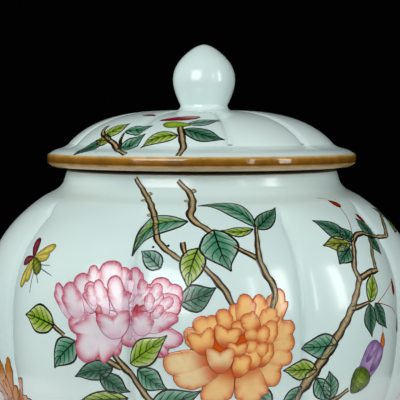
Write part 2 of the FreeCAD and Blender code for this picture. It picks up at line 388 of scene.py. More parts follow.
def amber_material():
    """Glossy amber enamel of the edge band: brown where it is thick and pale at its foot where it thins,
    with a painted highlight along its top edge and painted shade low on the band.
    """
    material, tree, shader = new_material("amber_enamel")
    place = node(tree, "ShaderNodeTexCoord")
    axes = tree.nodes.new("ShaderNodeSeparateXYZ")
    tree.links.new(place.outputs["Generated"], axes.inputs["Vector"])
    # The height ramp paints a highlight along the band's top edge and shade low on it
    height = ramp(tree, axes.outputs["Z"], AMBER_LIT_AND_SHADED)
    pools = ramp(tree, noise(tree, 7.0, 3.0).outputs["Fac"], [(0.3, (0.7,) * 3), (0.7, (1.1,) * 3)])
    mixed_into(tree, shader, height.outputs["Color"], pools.outputs["Color"])
    shader.inputs["Roughness"].default_value = 0.12
    shader.inputs["Coat Weight"].default_value = 0.7
    bump(tree, shader, noise(tree, 5.0, 2.0).outputs["Fac"], 0.0002, 0.5)
    return material


plain_glaze = glaze_material("celadon_white_glaze", [])
# The jar's coat paints the mouth's rim dark brown, deepened into painted shade of the gap under the lid
jar_coat = glaze_material("jar_glaze_with_shaded_brown_mouth", [(MOUTH_Z - MOUTH_BAND, 0.5, MOUTH_BROWN_AND_SHADE)])
# The lid's coat is tan under the brim, and its seat ring is near-black painted shade of the gap over the
# mouth
lid_coat = glaze_material("lid_glaze_with_tan_underside_and_shaded_seat",
                          [(LID_Z + UNDERSIDE_TOP, -1.2, UNDERSIDE_TAN), (LID_Z - 0.1, -0.3, SEAT_PAINTED_SHADE)])
biscuit = biscuit_material()
amber = amber_material()


# ------------------------------ pottery

def jar_glaze():
    """One coat of glaze over neck and body, inside and out; it stops at the foot ring."""
    rise = NECK_Z - FLOOR_Z
    inner = [(belly(z, WALL), FLOOR_Z + (z - BASE_Z) * rise / (NECK_Z - BASE_Z))
             for z in np.linspace(BASE_Z, NECK_Z - 1, 60)]
    floor = [(r, FLOOR_Z) for r in np.linspace(0, inner[0][0] - 1, 12)]
    spread = belly(NECK_Z, WALL) - MOUTH_R
    collar = [(MOUTH_R + spread * (1 - t) ** COLLAR_POWER, NECK_Z + COLLAR_RISE * t)
              for t in np.linspace(0.1, 1, 8)]
    collar += [(MOUTH_R + LIP_R * (1 - math.cos(a)), MOUTH_Z - LIP_R * (1 - math.sin(a)))
               for a in np.radians((0, 30, 60, 90))]
    outside = list(zip(body.r, body.z))
    base = [(r, BASE_Z) for r in np.linspace(outside[-1][0] - 1, 0, 12)]
    outline = floor + inner + collar + outside + base
    piece = lobed_shell("jar_glaze", outline, body_depth, 0.0, "jar", jar_coat)
    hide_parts("jar_lower_body", "jar_upper_body", "jar_neck")


def lid_glaze():
    """Glaze over the lid's dome, brim and seat ring, and inside its hollow."""
    outside = list(zip(cover.r, cover.z))
    edge = [(BRIM_R - EDGE_ROUND * (1 - math.cos(a)), LID_Z + EDGE_ROUND * (1 - math.sin(a)))
            for a in np.radians(np.linspace(0, 90, 13))]
    seat = [(SEAT_R + 0.3, LID_Z), (SEAT_R, LID_Z - 0.2), (SEAT_R, MOUTH_Z), (HOLLOW_R + 0.2, MOUTH_Z)]
    hollow = []
    for t in np.linspace(0, 1, 30)[:-1]:
        r = HOLLOW_R * math.cos(math.pi / 2 * t) ** HOLLOW_SPREAD
        height = HOLLOW_RISE * (1 - (r / HOLLOW_R) ** DOME_POWER) ** DOME_ROUND
        hollow.append((r, LID_Z + height))
    hollow.append((0, LID_Z + HOLLOW_RISE))

    def depth(r, z):
        return dome_depth(r, z) if z > LID_Z + EDGE_TOP and z > dome_height(r) - 1 else 0.0

    outline = outside + edge + seat + hollow
    piece = lobed_shell("lid_glaze", outline, depth, LID_TURN, "lid", lid_coat)
    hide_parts("lid_dome")


def dress_nodes():
    """The CAD nodes whose shape stays as it is."""
    looks = {"foot_ring": biscuit, "lid_flange": biscuit, "lid_knob": plain_glaze, "lid_edge_band": amber}
    for name, material in looks.items():
        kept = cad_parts[name]
        kept.data.materials.clear()
        kept.data.materials.append(material)


jar_glaze()
lid_glaze()
dress_nodes()


# ------------------------------ enamels

def tint(red, green, blue):
    """Linear colour from the usual 0 to 255 values."""
    return np.array([(c / 255) ** 2.2 for c in (red, green, blue)])


INK = tint(14, 22, 18)
SEPIA = tint(40, 26, 16)
THREAD_BROWN = tint(140, 64, 48)
BARK = [tint(64, 50, 32), tint(132, 114, 78), tint(172, 158, 118), tint(142, 124, 86), tint(56, 42, 26)]
LEAF_TONES = {
    "teal": (tint(138, 176, 156), tint(64, 130, 98)),
    "deep": (tint(108, 144, 124), tint(46, 100, 74)),
    "mist": (tint(156, 186, 174), tint(98, 144, 124)),
    "lime": (tint(184, 198, 124), tint(122, 160, 34)),
    "olive": (tint(164, 168, 84), tint(122, 134, 38)),
}
PAINT = 0.08             # how far leaves and stems stand off the skin
PETALS = 0.17            # how far the lowest petals stand off it
LEVEL = 0.045            # height that each row of petals adds to the one below it
BLUNT = 0.78             # 1 is an oval petal, less is squarer
SHAPE_RINGS = np.array([1.0, 0.97, 0.9, 0.8, 0.67, 0.5, 0.3, 0.1])    # rings that fill a shape, edge first
LEAF_BREADTH = 0.48      # breadth of a leaf for its length, unless one is given
LEAF_CURL = 0.1          # how far a leaf's tip curls aside, for its length
LEAF_WAVE = 0.06         # how far its edge waves, for its breadth


class Enamel:
    """Painted shapes of one kind on one body, gathered into a single raised mesh."""

    def __init__(self, name, skin, rides, material):
        self.name, self.skin, self.rides, self.material = name, skin, rides, material
        self.points, self.faces, self.colours = [], [], []
        self.count = 0

    def grid(self, azimuth, way, lift, colour, closed=False):
        """Adds a patch whose corners are a rows by columns grid of places on the skin."""
        rows, columns = azimuth.shape
        self.points.append(self.skin.lifted(azimuth, way, lift).reshape(-1, 3))
        self.colours.append(np.concatenate([colour, np.ones(azimuth.shape + (1,))], -1).reshape(-1, 4))
        last = columns if closed else columns - 1
        for i in range(rows - 1):
            for j in range(last):
                a = self.count + i * columns + j
                b = self.count + i * columns + (j + 1) % columns
                self.faces.append((a, b, b + columns, a + columns))
        if closed:
            start = self.count + (rows - 1) * columns
            self.faces.append(tuple(range(start, start + columns)))
        self.count += rows * columns

    def finish(self):
        return new_mesh(self.name, np.concatenate(self.points), self.faces, self.rides, self.material,
                        np.concatenate(self.colours))


def evenly(points, gap=1.5):
    """Points about a gap apart along the smooth curve through the given ones."""
    curve = np.array(through(points))
    reach = np.concatenate([[0.0], np.cumsum(np.linalg.norm(np.diff(curve, axis=0), axis=1))])
    steps = np.linspace(0, reach[-1], max(5, int(reach[-1] / gap)))
    return np.stack([np.interp(steps, reach, curve[:, 0]), np.interp(steps, reach, curve[:, 1])], -1)


def sides_of(path):
    """Unit vectors to the left of a path, at each of its points."""
    ahead = np.gradient(path, axis=0)
    ahead /= np.maximum(np.linalg.norm(ahead, axis=1, keepdims=True), 1e-9)
    return np.stack([-ahead[:, 1], ahead[:, 0]], -1)


def heading_vector(heading):
    """Unit vector for a heading in degrees: 0 is to the right, 90 is up."""
    a = math.radians(heading)
    return np.array([math.cos(a), math.sin(a)])


class Brush:
    """Paints in millimetres across and up from a heart on the skin; it can be turned round or mirrored."""

    def __init__(self, skin, layers, azimuth=0.0, mirror=1, heart=(0.0, 0.0)):
        self.skin, self.layers = skin, layers
        self.azimuth, self.mirror = azimuth, mirror
        self.heart = heart

    def at(self, place):
        """A brush whose heart is at a place."""
        return Brush(self.skin, self.layers, self.azimuth, self.mirror, place)

    def flat(self, places):
        """Places as millimetres from the heart."""
        azimuth, way = np.array(places, float).T
        across = np.radians(azimuth - self.heart[0]) * self.skin.crest((way + self.heart[1]) / 2)
        return np.stack([across, self.heart[1] - way], -1)

    def wrap(self, flat):
        """Millimetres from the heart back to azimuths and ways."""
        way = self.heart[1] - flat[..., 1]
        turn = flat[..., 0] / self.skin.crest((way + self.heart[1]) / 2)
        return self.azimuth + self.mirror * (self.heart[0] + np.degrees(turn)), way

    def ribbon(self, flat, widths, shades, lift, layer):
        """A band along a path; widths are spread along it, and shades are spread across it."""
        path = evenly(flat)
        width = np.interp(np.linspace(0, 1, len(path)), np.linspace(0, 1, len(widths)), widths)
        across = np.linspace(-1, 1, len(shades))
        spots = path[:, None] + sides_of(path)[:, None] * (across[None, :] * width[:, None] / 2)[..., None]
        height = lift * (1 - across ** 4) * np.ones((len(path), 1))
        grain = 1 + 0.12 * np.sin(path[:, 0] * 2.1 + path[:, 1] * 1.3)
        self.layers[layer].grid(*self.wrap(spots), height, np.array(shades)[None] * grain[:, None, None])

    def stroke(self, flat, widths, colour=INK, lift=PAINT + 0.06):
        """A line of one colour along a path."""
        self.ribbon(flat, widths, [colour] * 5, lift, "ink")

    def thread(self, places):
        """A thin red-brown line through places."""
        pen = self.at(places[0])
        pen.stroke(pen.flat(places), (0.5, 0.35), THREAD_BROWN, PAINT)

    def stem(self, places, widths, lift=PAINT):
        """A woody stem: brown with a lighter back, inked along both sides."""
        pen = self.at(places[len(places) // 2])
        path = pen.flat(places)
        pen.ribbon(path, widths, BARK, lift + 0.02, "bark")
        middle = evenly(path, 2.0)
        half = np.interp(np.linspace(0, 1, len(middle)), np.linspace(0, 1, len(widths)), widths) / 2
        for edge, line in ((-1, 1.0), (1, 0.7)):
            knobs = 1 + 0.22 * np.sin(1.9 * np.arange(len(middle)) + edge)
            rim = middle + sides_of(middle) * (edge * half * knobs)[:, None]
            pen.stroke(rim, (line, line * 1.4, line * 0.7), SEPIA, lift + 0.06)

    def nub(self, place, size=1.0):
        """A small leaf scar on a stem: a dark ring round a pale spot."""
        turn = np.linspace(0, 2 * np.pi, 12, endpoint=False)
        ring = size * np.stack([np.cos(turn), 0.8 * np.sin(turn)], -1)
        self.at(place).patch(ring, tint(90, 70, 44), tint(170, 160, 130), "bark", 0, 0.5, SEPIA)

    def leaf(self, place, heading, length, tone="teal", breadth=None, bend=0.0,
             veins=4, second=None, lift=PAINT):
        """A pointed leaf with pale margins and a deeper heart, inked along its edge, midrib and veins."""
        pen = self.at(place)
        breadth = breadth or LEAF_BREADTH * length
        ahead = heading_vector(heading)
        left = np.array([-ahead[1], ahead[0]])
        t = np.linspace(0, 1, 17)
        curl = 4 * bend * t * (1 - t) + LEAF_CURL * length * t ** 4
        rib = t[:, None] * length * ahead + curl[:, None] * left
        wave = 1 + LEAF_WAVE * np.sin(9 * t + length)
        half = breadth / 2 * np.sin(np.pi * t ** 0.8) ** (0.8 + 0.7 * t) * wave
        across = np.array([-1.0, -0.9, -0.62, -0.3, 0.0, 0.3, 0.62, 0.9, 1.0])
        spots = rib[:, None] + (across[None, :] * half[:, None])[..., None] * left
        pale, deep = LEAF_TONES[tone]
        other = LEAF_TONES[second][1] if second else deep
        sides = np.where(across[None, :, None] < 0, other, deep)
        heart = np.clip(1.5 - 1.6 * np.abs(across[None, :]) - 0.5 * np.abs(t[:, None] - 0.4), 0, 1)
        stripes = 0.86 + 0.14 * np.cos(2 * np.pi * (t[:, None] * (veins + 1) - np.abs(across[None, :])))
        colours = (pale + (sides - pale) * heart[..., None]) * stripes[..., None]
        height = lift * (np.abs(across) < 1) * np.ones((len(t), 1))
        self.layers["leaves"].grid(*pen.wrap(spots), height, colours)
        line = min(1.0, 0.56 + 0.03 * breadth)
        for edge in (-1, 1):
            margin = rib + (edge * half)[:, None] * left
            pen.stroke(margin[::2], (line, line * 1.2, line * 0.7), lift=lift + 0.06)
            for start in 0.12 + 0.66 * np.arange(veins) / veins:
                ts = start + np.array([0.0, 0.12, 0.24])
                middle = np.stack([np.interp(ts, t, rib[:, 0]), np.interp(ts, t, rib[:, 1])], -1)
                out = edge * np.array([0.0, 0.5, 0.86]) * np.interp(ts, t, half)
                pen.stroke(middle + out[:, None] * left, (line * 0.85, line * 0.4), lift=lift + 0.05)
        pen.stroke(rib[::4], (line * 1.2, line, line * 0.5), lift=lift + 0.06)

    def patch(self, outline, edge, heart, layer, level=0, fall=1.5, line=None, dome=LEVEL,
              toward=None, base=None):
        """A domed shape inside a closed outline.

        Its edge colour fades to its heart's colour over the distance fall. With a base colour it deepens
        in the direction toward.
        """
        middle = outline.mean(axis=0)
        spots = middle + (outline - middle)[None] * SHAPE_RINGS[:, None, None]
        size = np.linalg.norm(outline - middle, axis=1)
        gap = (1 - SHAPE_RINGS)[:, None] * size[None, :]
        streak = 0.88 + 0.12 * np.sin(np.arange(len(size)) * 2.7)
        share = np.exp(-(gap / fall) ** 2) * streak
        if base is not None:
            along = (spots - middle) @ toward / size.mean()
            share = share * smooth((0.5 - along) / 0.7)
        colour = heart + (edge - heart) * share[..., None]
        if base is not None:
            colour = colour + (base - colour) * (0.9 * smooth((along + 0.1) / 1.0))[..., None]
        lift = (PETALS if layer == "petals" else PAINT) + LEVEL * level
        height = lift + dome * (1 - SHAPE_RINGS[:, None] ** 2.5) * np.ones((1, len(outline)))
        height[0] = -0.02
        self.layers[layer].grid(*self.wrap(spots), height, colour, closed=True)
        if line is not None:
            loop = np.concatenate([outline, outline[:1]])
            every_other = loop[::2] if len(loop) % 2 else loop
            self.stroke(every_other, (0.28, 0.4, 0.28, 0.36), line, lift + 0.03)

    def petal(self, base, tip, breadth, palette, level, scallops=3, wave=0.1, phase=0.0):
        """A petal from its base to a blunt scalloped tip, widest beyond its middle."""
        run = tip - base
        length = np.linalg.norm(run)
        ahead = run / length
        left = np.array([-ahead[1], ahead[0]])
        turn = np.linspace(0, 2 * np.pi, 44, endpoint=False)
        along = 0.5 - 0.5 * np.sign(np.cos(turn)) * np.abs(np.cos(turn)) ** BLUNT
        side = np.sign(np.sin(turn)) * np.abs(np.sin(turn)) ** BLUNT
        notch = 1 - np.abs(np.cos(scallops * (turn - np.pi) / 2 + phase))
        frill = 1 - wave * smooth(2 * along - 0.6) * notch
        across = breadth / 2 * side * (0.55 + 0.5 * along) * frill
        outline = base + (along * frill * length)[:, None] * ahead + across[:, None] * left
        self.patch(outline, palette["rim"], palette["pale"], "petals", level, palette["fall"],
                   palette["line"], toward=-ahead, base=palette["deep"])

    def bed(self, centre, oval, colour):
        """A low oval of the flower's deep colour, which shows in the gaps between the petals."""
        turn = np.linspace(0, 2 * np.pi, 40, endpoint=False)
        outline = np.array(centre) + np.stack([oval[0] * np.cos(turn), oval[1] * np.sin(turn)], -1)
        self.patch(outline, colour, colour, "petals", dome=0.0)

    def petals(self, palette, rows):
        """Petals given as foot across and up, heading, length, breadth and level.

        A seventh value notches the tip.
        """
        for x, y, heading, length, breadth, level, *notch in rows:
            foot = np.array([x, y], float)
            tip = foot + length * heading_vector(heading)
            if notch:
                self.petal(foot, tip, breadth, palette, level, 2, 0.34, math.pi / 2)
            else:
                self.petal(foot, tip, breadth, palette, level, 3 + x % 3, 0.15, 0.05 * y)

    def row(self, palette, level, count, first, last, oval, start, breadth, seed):
        """Petals whose tips lie round an oval, from the first heading to the last, a little uneven."""
        rng = random.Random(seed)
        for heading in np.linspace(first, last, count):
            reach = heading_vector(heading + rng.uniform(-7, 7)) * oval * rng.uniform(0.84, 1.08)
            self.petal(start * reach, reach, breadth * rng.uniform(0.8, 1.2), palette, level,
                       rng.choice((3, 4, 5)), 0.14, rng.uniform(-0.5, 0.5))

    def drop(self, place, heading, length, breadth, edge, heart, layer="berries", level=0, line=SEPIA):
        """A drop from its pointed start at a place to its round end."""
        ahead = heading_vector(heading)
        left = np.array([-ahead[1], ahead[0]])
        turn = np.linspace(0, 2 * np.pi, 20, endpoint=False)
        along = length * (0.5 - 0.5 * np.cos(turn))
        across = breadth / 2 * np.sin(turn) * (0.45 + 0.75 * along / length)
        outline = along[:, None] * ahead + across[:, None] * left
        self.at(place).patch(outline, edge, heart, layer, level, breadth * 0.3, line)


# ------------------------------ flowers

PINK = {"pale": tint(207, 200, 205), "rim": tint(174, 22, 80), "deep": tint(196, 162, 180),
        "line": tint(150, 70, 98), "fall": 2.6}
ROSE = {**PINK, "pale": tint(186, 96, 112), "rim": tint(136, 14, 34), "deep": tint(192, 84, 100)}
PEACH = {"pale": tint(216, 190, 144), "rim": tint(192, 98, 34), "deep": tint(180, 70, 10),
         "line": tint(128, 48, 12), "fall": 2.0}
APRICOT = {**PEACH, "pale": tint(224, 176, 110), "rim": tint(186, 72, 12), "deep": tint(172, 60, 8),
           "fall": 1.6}
TANGERINE = {**PEACH, "pale": tint(218, 176, 118), "rim": tint(188, 82, 22), "fall": 2.0}
AMBER_PETAL = {"pale": tint(170, 106, 30), "rim": tint(112, 54, 12), "deep": tint(152, 56, 8),
               "line": tint(58, 30, 10), "fall": 0.9}
VIOLET = {"pale": tint(164, 142, 178), "rim": tint(108, 74, 132), "deep": tint(92, 58, 116),
          "line": tint(74, 46, 96), "fall": 2.4}
BERRY_RED = (tint(104, 20, 14), tint(160, 40, 26))
BERRY_ORANGE = (tint(140, 50, 14), tint(214, 116, 50))


def pink_peony(brush, place):
    """A cupped peony from the side: upright petals behind, broad skirts below and rosy cups in front."""
    flower = brush.at(place)
    flower.bed((0, 0), (22, 13), tint(196, 168, 184))
    flower.petals(PINK, [
        (-25, -6, 124, 19, 8, 0), (-15, -2, 118, 19, 12, 0), (-13, 3, 106, 17, 9, 0), (-6, 5, 101, 17, 15, 0),
        (-1, 8, 95, 11, 7, 0), (17, -1, 94, 16, 17, 0), (19, 0, 66, 13, 11, 0), (-20, -6, 121, 19, 12, 1),
        (7, 4, 108, 16, 9, 1), (12, 2, 5, 14, 14, 1), (-8, -7, 184, 19, 14, 1), (-5, -7, 247, 15, 17, 1),
        (6, -7, 233, 11, 12, 1), (9, -8, 318, 15, 12, 1), (-10, -2, 124, 16, 11, 2), (3, 1, 42, 13, 7, 2),
        (6, 0, 34, 14, 11, 2), (-8, -3, 113, 17, 8, 3), (0, 2, 85, 6, 6, 3), (9, -8, 29, 14, 12, 3),
        (0, -4, 112, 20, 10, 4)])
    for foot, tip, breadth in (((-2, -3), (-23, -21), 26), ((2, -8), (27, -13), 17)):
        flower.petal(np.array(foot), np.array(tip), breadth, PINK, 2, scallops=5, wave=0.24, phase=0.3)
    flower.petals(ROSE, [(2, -1, 15, 11, 4, 3), (4, -4, 75, 7, 3, 4), (-11, -7, 100, 9, 4, 4)])
    flower.petals(PINK, [
        (8, 5, 96, 9, 6, 2), (12, 4, 62, 9, 7, 3), (16, 1, 38, 8, 6, 3), (11, 0, 84, 8, 6, 4),
        (16, -4, 12, 9, 7, 3), (14, -3, 58, 7, 5, 4), (-14, 1, 112, 10, 6, 3), (8, -11, 88, 11, 14, 4),
        (-4, -13, 100, 15, 18, 5, 1)])


def orange_peony(brush, place):
    """A full peony from the front: large pale petals outside, notched and small ones round the middle."""
    flower = brush.at(place)
    flower.bed((1, 0), (20, 16), tint(186, 76, 14))
    flower.petals(TANGERINE, [
        (14, 4, 66, 22, 13, 0), (14, 0, 31, 17, 13, 0), (12, -1, 7, 17, 12, 0), (10, -4, 353, 18, 12, 0),
        (8, -6, 323, 17, 15, 0), (-3, -8, 249, 19, 17, 0), (5, -7, 284, 20, 18, 1)])
    flower.petals(PEACH, [(-11, -2, 135, 14, 10, 0), (-6, -9, 198, 21, 13, 1), (-9, -5, 189, 22, 15, 1)])
    flower.petals(APRICOT, [
        (-9, 2, 121, 13, 11, 0), (-6, 4, 117, 11, 9, 0), (-3, 6, 100, 11, 9, 1), (0, 7, 85, 12, 8, 0),
        (4, 8, 82, 15, 11, 1), (8, 7, 72, 16, 11, 0), (11, 4, 58, 15, 11, 1), (13, 3, 45, 13, 9, 0),
        (-12, -3, 106, 14, 14, 2, 1), (13, -1, 67, 13, 10, 2), (11, -9, 68, 12, 11, 2), (3, 5, 108, 7, 8, 2),
        (11, 7, 135, 10, 10, 3), (-4, 0, 80, 12, 14, 3, 1), (7, -10, 78, 10, 11, 3), (7, 2, 80, 7, 8, 3),
        (10, 1, 56, 9, 8, 3), (6, -4, 70, 8, 8, 3), (10, -5, 60, 8, 8, 3), (1, -13, 68, 11, 10, 4),
        (1, -4, 85, 8, 11, 4, 1)])
    flower.petals(PEACH, [(-6, -11, 90, 14, 15, 5, 1)])


def aster(brush, place):
    """A shaggy orange-brown flower of long narrow petals."""
    flower = brush.at(place)
    flower.row(AMBER_PETAL, 0, 20, 0, 342, (32, 30), 0.15, 6, seed=21)
    flower.row(AMBER_PETAL, 2, 15, 10, 346, (20, 19), 0.1, 5, seed=22)
    flower.row(AMBER_PETAL, 4, 8, 0, 315, (10, 9), 0.0, 5, seed=23)


def bud(brush, place):
    """A plump violet bud in a scaly green cup; the place is the foot of the cup."""
    heading, length = 52, 27
    ahead = heading_vector(heading)
    left = np.array([-ahead[1], ahead[0]])
    flower = brush.at(place)
    tip = ahead * length
    flower.petal(ahead * 6, tip, 16, VIOLET, 1, wave=0.02)
    flower.petal(ahead * 13 - left * 3, tip - left * 3, 6, VIOLET, 3, wave=0.0)
    flower.petal(ahead * 15 + left * 3, tip + left * 2, 5, VIOLET, 3, wave=0.0)
    cup = tint(46, 74, 18), tint(128, 150, 44)
    flower.drop(place, heading, 13, 14, *cup, layer="leaves", level=5, line=INK)
    for row in range(4):
        for column in range(-1, 2):
            foot = ahead * (2.6 + 2.5 * row) + left * (2.6 * column + 0.8 * (row % 2))
            arch = [foot + left, foot + ahead * 1.4, foot - left]
            flower.stroke(arch, (0.3, 0.5, 0.3), INK, 0.42)


def bee(brush, place):
    """A bee seen from above: two pairs of yellow wings, a striped green tail and a dark red head."""
    wing = tint(134, 118, 34), tint(196, 184, 88)
    insect = brush.at(place)
    for heading, length in ((28, 15), (8, 12), (250, 16), (268, 12)):
        insect.drop(place, heading, length, 5.5, *wing, line=tint(70, 62, 20))
        for turn in (-7, 7):
            tip = heading_vector(heading + turn) * length * 0.8
            insect.stroke([tip * 0.3, tip * 0.65, tip], (0.3, 0.25), tint(84, 76, 28), PAINT + 0.1)
    insect.drop(place, 118, 11, 6.5, tint(70, 16, 28), tint(132, 50, 66), level=1)
    insect.drop(place, 200, 10, 5, tint(70, 20, 28), tint(124, 62, 70), level=1)
    insect.drop(place, 322, 11, 6.5, tint(60, 72, 22), tint(128, 142, 50), level=1)
    for k in range(1, 4):
        middle = heading_vector(322) * 2.5 * k
        insect.stroke([middle + (1.6, 2.0), middle, middle - (1.6, 2.0)], (0.6, 0.6), INK, PAINT + 0.14)
    for heading, reach in ((285, 17), (310, 15), (338, 19), (350, 15)):
        leg = [heading_vector(322) * 5, heading_vector(heading) * reach]
        insect.stroke(leg, (0.6, 0.3), tint(30, 40, 24))


# ------------------------------ sprays

def hanging_stems(brush):
    """Two stems that come down from the neck, and the sprig beside them."""
    brush.stem([(-26, 3), (-18, 16), (-14, 29), (-12, 41), (-9, 47), (-5, 52)], (1.6, 2.6, 2.6, 1.8))
    brush.stem([(-9, 4), (-4, 11), (-3, 20), (-3, 29), (3, 38)], (1.4, 2.8, 2.8, 2.0))
    brush.stem([(-5, 43), (-4, 50)], (1.8, 1.6))
    brush.stem([(0, 54), (5, 65), (7, 73)], (1.4, 2.4, 1.8))
    brush.stem([(15, 35), (14, 50), (15, 58), (17, 66), (16, 74)], (1.0, 2.0, 2.6, 2.2), 0.4)
    brush.stem([(8, 45), (14, 52)], (1.2, 2.0))
    for place in ((-20, 16), (-19, 11), (-16, 27), (-5, 16), (-3, 9)):
        brush.nub(place, 1.4)
    for place in ((-13, 46), (-9, 45)):
        brush.drop(place, 0, 1.3, 1.3, INK, INK)
    brush.leaf((-4, 31), 214, 31, "teal", 11, -6, second="lime", veins=5)
    brush.leaf((15, 35), 144, 29, "teal", 9, -5)
    brush.leaf((14, 36), 176, 15, "lime", 5, 2, veins=3)
    brush.leaf((15, 36), 40, 19, "deep", 9)
    brush.leaf((-10, 56), 138, 13, "mist", 9, veins=3)
    brush.leaf((-1, 46), 252, 19, "lime", 11)
    brush.leaf((-5, 71), 18, 17, "deep", 11)
    brush.leaf((3, 36), 282, 22, "teal", 16)


def lower_sprig(brush):
    """The leafy stem under the pink flower."""
    brush.stem([(-21, 93), (-19, 99), (-15, 108), (-8, 125)], (1.6, 2.4, 2.8, 2.8))
    brush.stem([(-26, 96), (-22, 98), (-19, 101)], (1.4, 1.8, 2.0))
    brush.stem([(-37, 83), (-33, 88)], (1.2, 1.6))
    brush.leaf((-36, 84), 168, 21, "lime", 13)
    brush.leaf((-30, 90), 222, 18, "teal", 12)
    brush.leaf((-21, 101), 190, 19, "deep", 9)
    brush.leaf((-24, 104), 322, 15, "deep", 9)
    brush.leaf((-18, 115), 184, 25, "lime", 8)
    brush.leaf((-17, 99), 32, 23, "lime", 11, 1, lift=0.4)
    brush.leaf((-15, 101), 325, 16, "teal", 10)
    brush.leaf((-12, 117), 14, 24, "teal", 11)
    brush.leaf((13, 107), 272, 18, "teal", 12)
    brush.leaf((-8, 125), 225, 18, "teal")
    brush.leaf((-8, 125), 318, 18, "lime")


def right_bough(brush):
    """The long bough on the right, with its twigs, berries and violet bud."""
    brush.stem([(41, 64), (44, 62), (49, 61)], (2.2, 2.2, 1.8))
    brush.stem([(48, 61), (49, 54), (52, 47)], (1.8, 1.6, 1.4))
    brush.stem([(66, 47), (69, 42), (72, 38), (78, 33)], (2.0, 1.6, 1.0))
    brush.stem([(41, 65), (40, 59), (42, 51), (44, 45), (49, 42), (56, 45), (66, 47)],
               (2.4, 2.0, 1.8, 1.6, 2.0))
    brush.stem([(14, 140), (23, 117), (27, 105), (32, 91), (37, 77), (41, 63)], (4.6, 4.2, 3.8, 3.4, 2.8))
    brush.stem([(37, 77), (43, 75)], (1.8, 1.0))
    brush.stem([(22, 124), (31, 120), (37, 114)], (2.0, 1.8, 1.6))
    brush.leaf((42, 44), 134, 18, "deep", 10)
    brush.leaf((43, 46), 98, 9, "deep", 9, veins=3)
    brush.leaf((42, 47), 174, 16, "olive", 8, veins=3)
    brush.leaf((41, 49), 212, 12, "deep", 9, veins=3)
    brush.leaf((53, 44), 279, 11, "deep", 9, veins=3)
    brush.leaf((55, 46), 98, 13, "deep", 12, veins=3)
    brush.leaf((43, 75), 62, 15, "lime", 8, veins=3)
    brush.leaf((43, 76), 268, 15, "deep", 8)
    brush.leaf((45, 76), 302, 16, "deep", 7)
    brush.leaf((33, 92), 178, 18, "teal", 11, 1)
    brush.leaf((28, 103), 170, 18, "lime", 9, 1)
    brush.leaf((28, 107), 300, 15, "teal", 8)
    brush.leaf((32, 118), 92, 14, "teal", 8)
    brush.leaf((25, 111), 216, 17, "teal", 8)
    brush.leaf((18, 131), 330, 18, "deep", 9)
    brush.leaf((19, 130), 190, 17, "lime", 8)
    threads = [((44, 16), (49, 20)), ((50, 25), (45, 42)), ((46, 76), (56, 68)), ((45, 77), (48, 90)),
               ((46, 76), (58, 86))]
    for start, end in threads:
        brush.thread([start, ((start[0] + end[0]) / 2 + 1, (start[1] + end[1]) / 2 - 1), end])
    brush.drop((48, 19), 308, 7, 5, *BERRY_RED)
    brush.drop((56, 31), 304, 7, 6, *BERRY_RED)
    brush.drop((56, 67), 270, 8, 4.2, *BERRY_RED)
    brush.drop((58, 86), 280, 8, 4, *BERRY_RED)
    brush.drop((48, 90), 270, 8, 4.4, *BERRY_ORANGE)
    bud(brush, (38, 116))


def flank_spray(brush, flower):
    """A smaller spray that fills the side between the two painted faces, over a shaggy flower."""
    brush.stem([(2, 5), (-3, 24), (1, 48), (4, 80), (flower[0], flower[1] - 12)], (1.6, 2.6, 2.4, 2.8, 2.8))
    brush.stem([(-3, 24), (-10, 40)], (1.6, 1.2))
    for heading, tone in ((130, "teal"), (200, "lime")):
        brush.leaf((-10, 40), heading, 15, tone, 7)
    brush.leaf((0, 48), 20, 16, "deep", 8)
    brush.leaf((1, 56), 325, 16, "teal", 8, second="lime")
    brush.leaf((1, 62), 165, 18, "lime", 9)
    brush.leaf((4, 78), 172, 19, "teal", 10)
    brush.leaf((4, 88), 195, 18, "deep", 9)
    brush.leaf((flower[0] - 6, flower[1] + 12), 215, 20, "lime", 10)
    brush.nub((0, 12))
    brush.nub((-5, 20))
    aster(brush, flower)


def lid_spray(brush):
    """A budding stem with leaves to both sides, and a leafy twig to its left."""
    red = tint(104, 12, 22), tint(142, 34, 46)
    brush.drop((-23, 53), 15, 20, 6.5, *red, layer="petals")
    brush.stem([(-10, 60), (-8, 69), (-7, 76), (-8, 84)], (2.4, 2.6, 1.8))
    brush.drop((-5, 58), 178, 14, 7, tint(84, 110, 30), tint(140, 172, 40), layer="leaves", level=1)
    brush.leaf((-7, 57), 12, 17, "mist", 6, veins=3)
    brush.leaf((-8, 62), 332, 21, "deep", 9)
    brush.leaf((-10, 67), 202, 19, "lime", 8, -2)
    brush.drop((-42, 44), 0, 7, 3.4, *red, layer="petals")
    brush.stem([(-33, 78), (-36, 71), (-37, 65)], (0.8, 0.6))
    brush.stem([(-53, 59), (-50, 65), (-44, 69), (-38, 73), (-33, 78), (-27, 83)], (1.8, 1.8, 2.0, 2.0))
    brush.leaf((-37, 64), 16, 14, "teal", 8, veins=3)
    brush.leaf((-34, 77), 42, 15, "teal", 9)
    brush.leaf((-47, 68), 50, 14, "lime", 10, veins=3)
    brush.leaf((-41, 71), 176, 10, "olive", 7, veins=3)
    brush.leaf((-46, 71), 240, 16, "deep", 9)


# ------------------------------ painting

def enamel_material(name, blotch, depth, roughness, relief):
    """Painted enamel: the brushed colour, thicker and darker in places, under a glassy surface."""
    material, tree, shader = new_material(name)
    paint = node(tree, "ShaderNodeAttribute", attribute_name="paint")
    pools = ramp(tree, noise(tree, blotch, 4.0).outputs["Fac"], [(0.3, (1 - depth,) * 3), (0.65, (1.0,) * 3)])
    mixed_into(tree, shader, paint.outputs["Color"], pools.outputs["Color"])
    shader.inputs["Roughness"].default_value = roughness
    shader.inputs["Coat Weight"].default_value = 0.4
    shader.inputs["Coat Roughness"].default_value = 0.1
    bump(tree, shader, noise(tree, relief, 2.0).outputs["Fac"], 0.0002, 0.5)
    return material


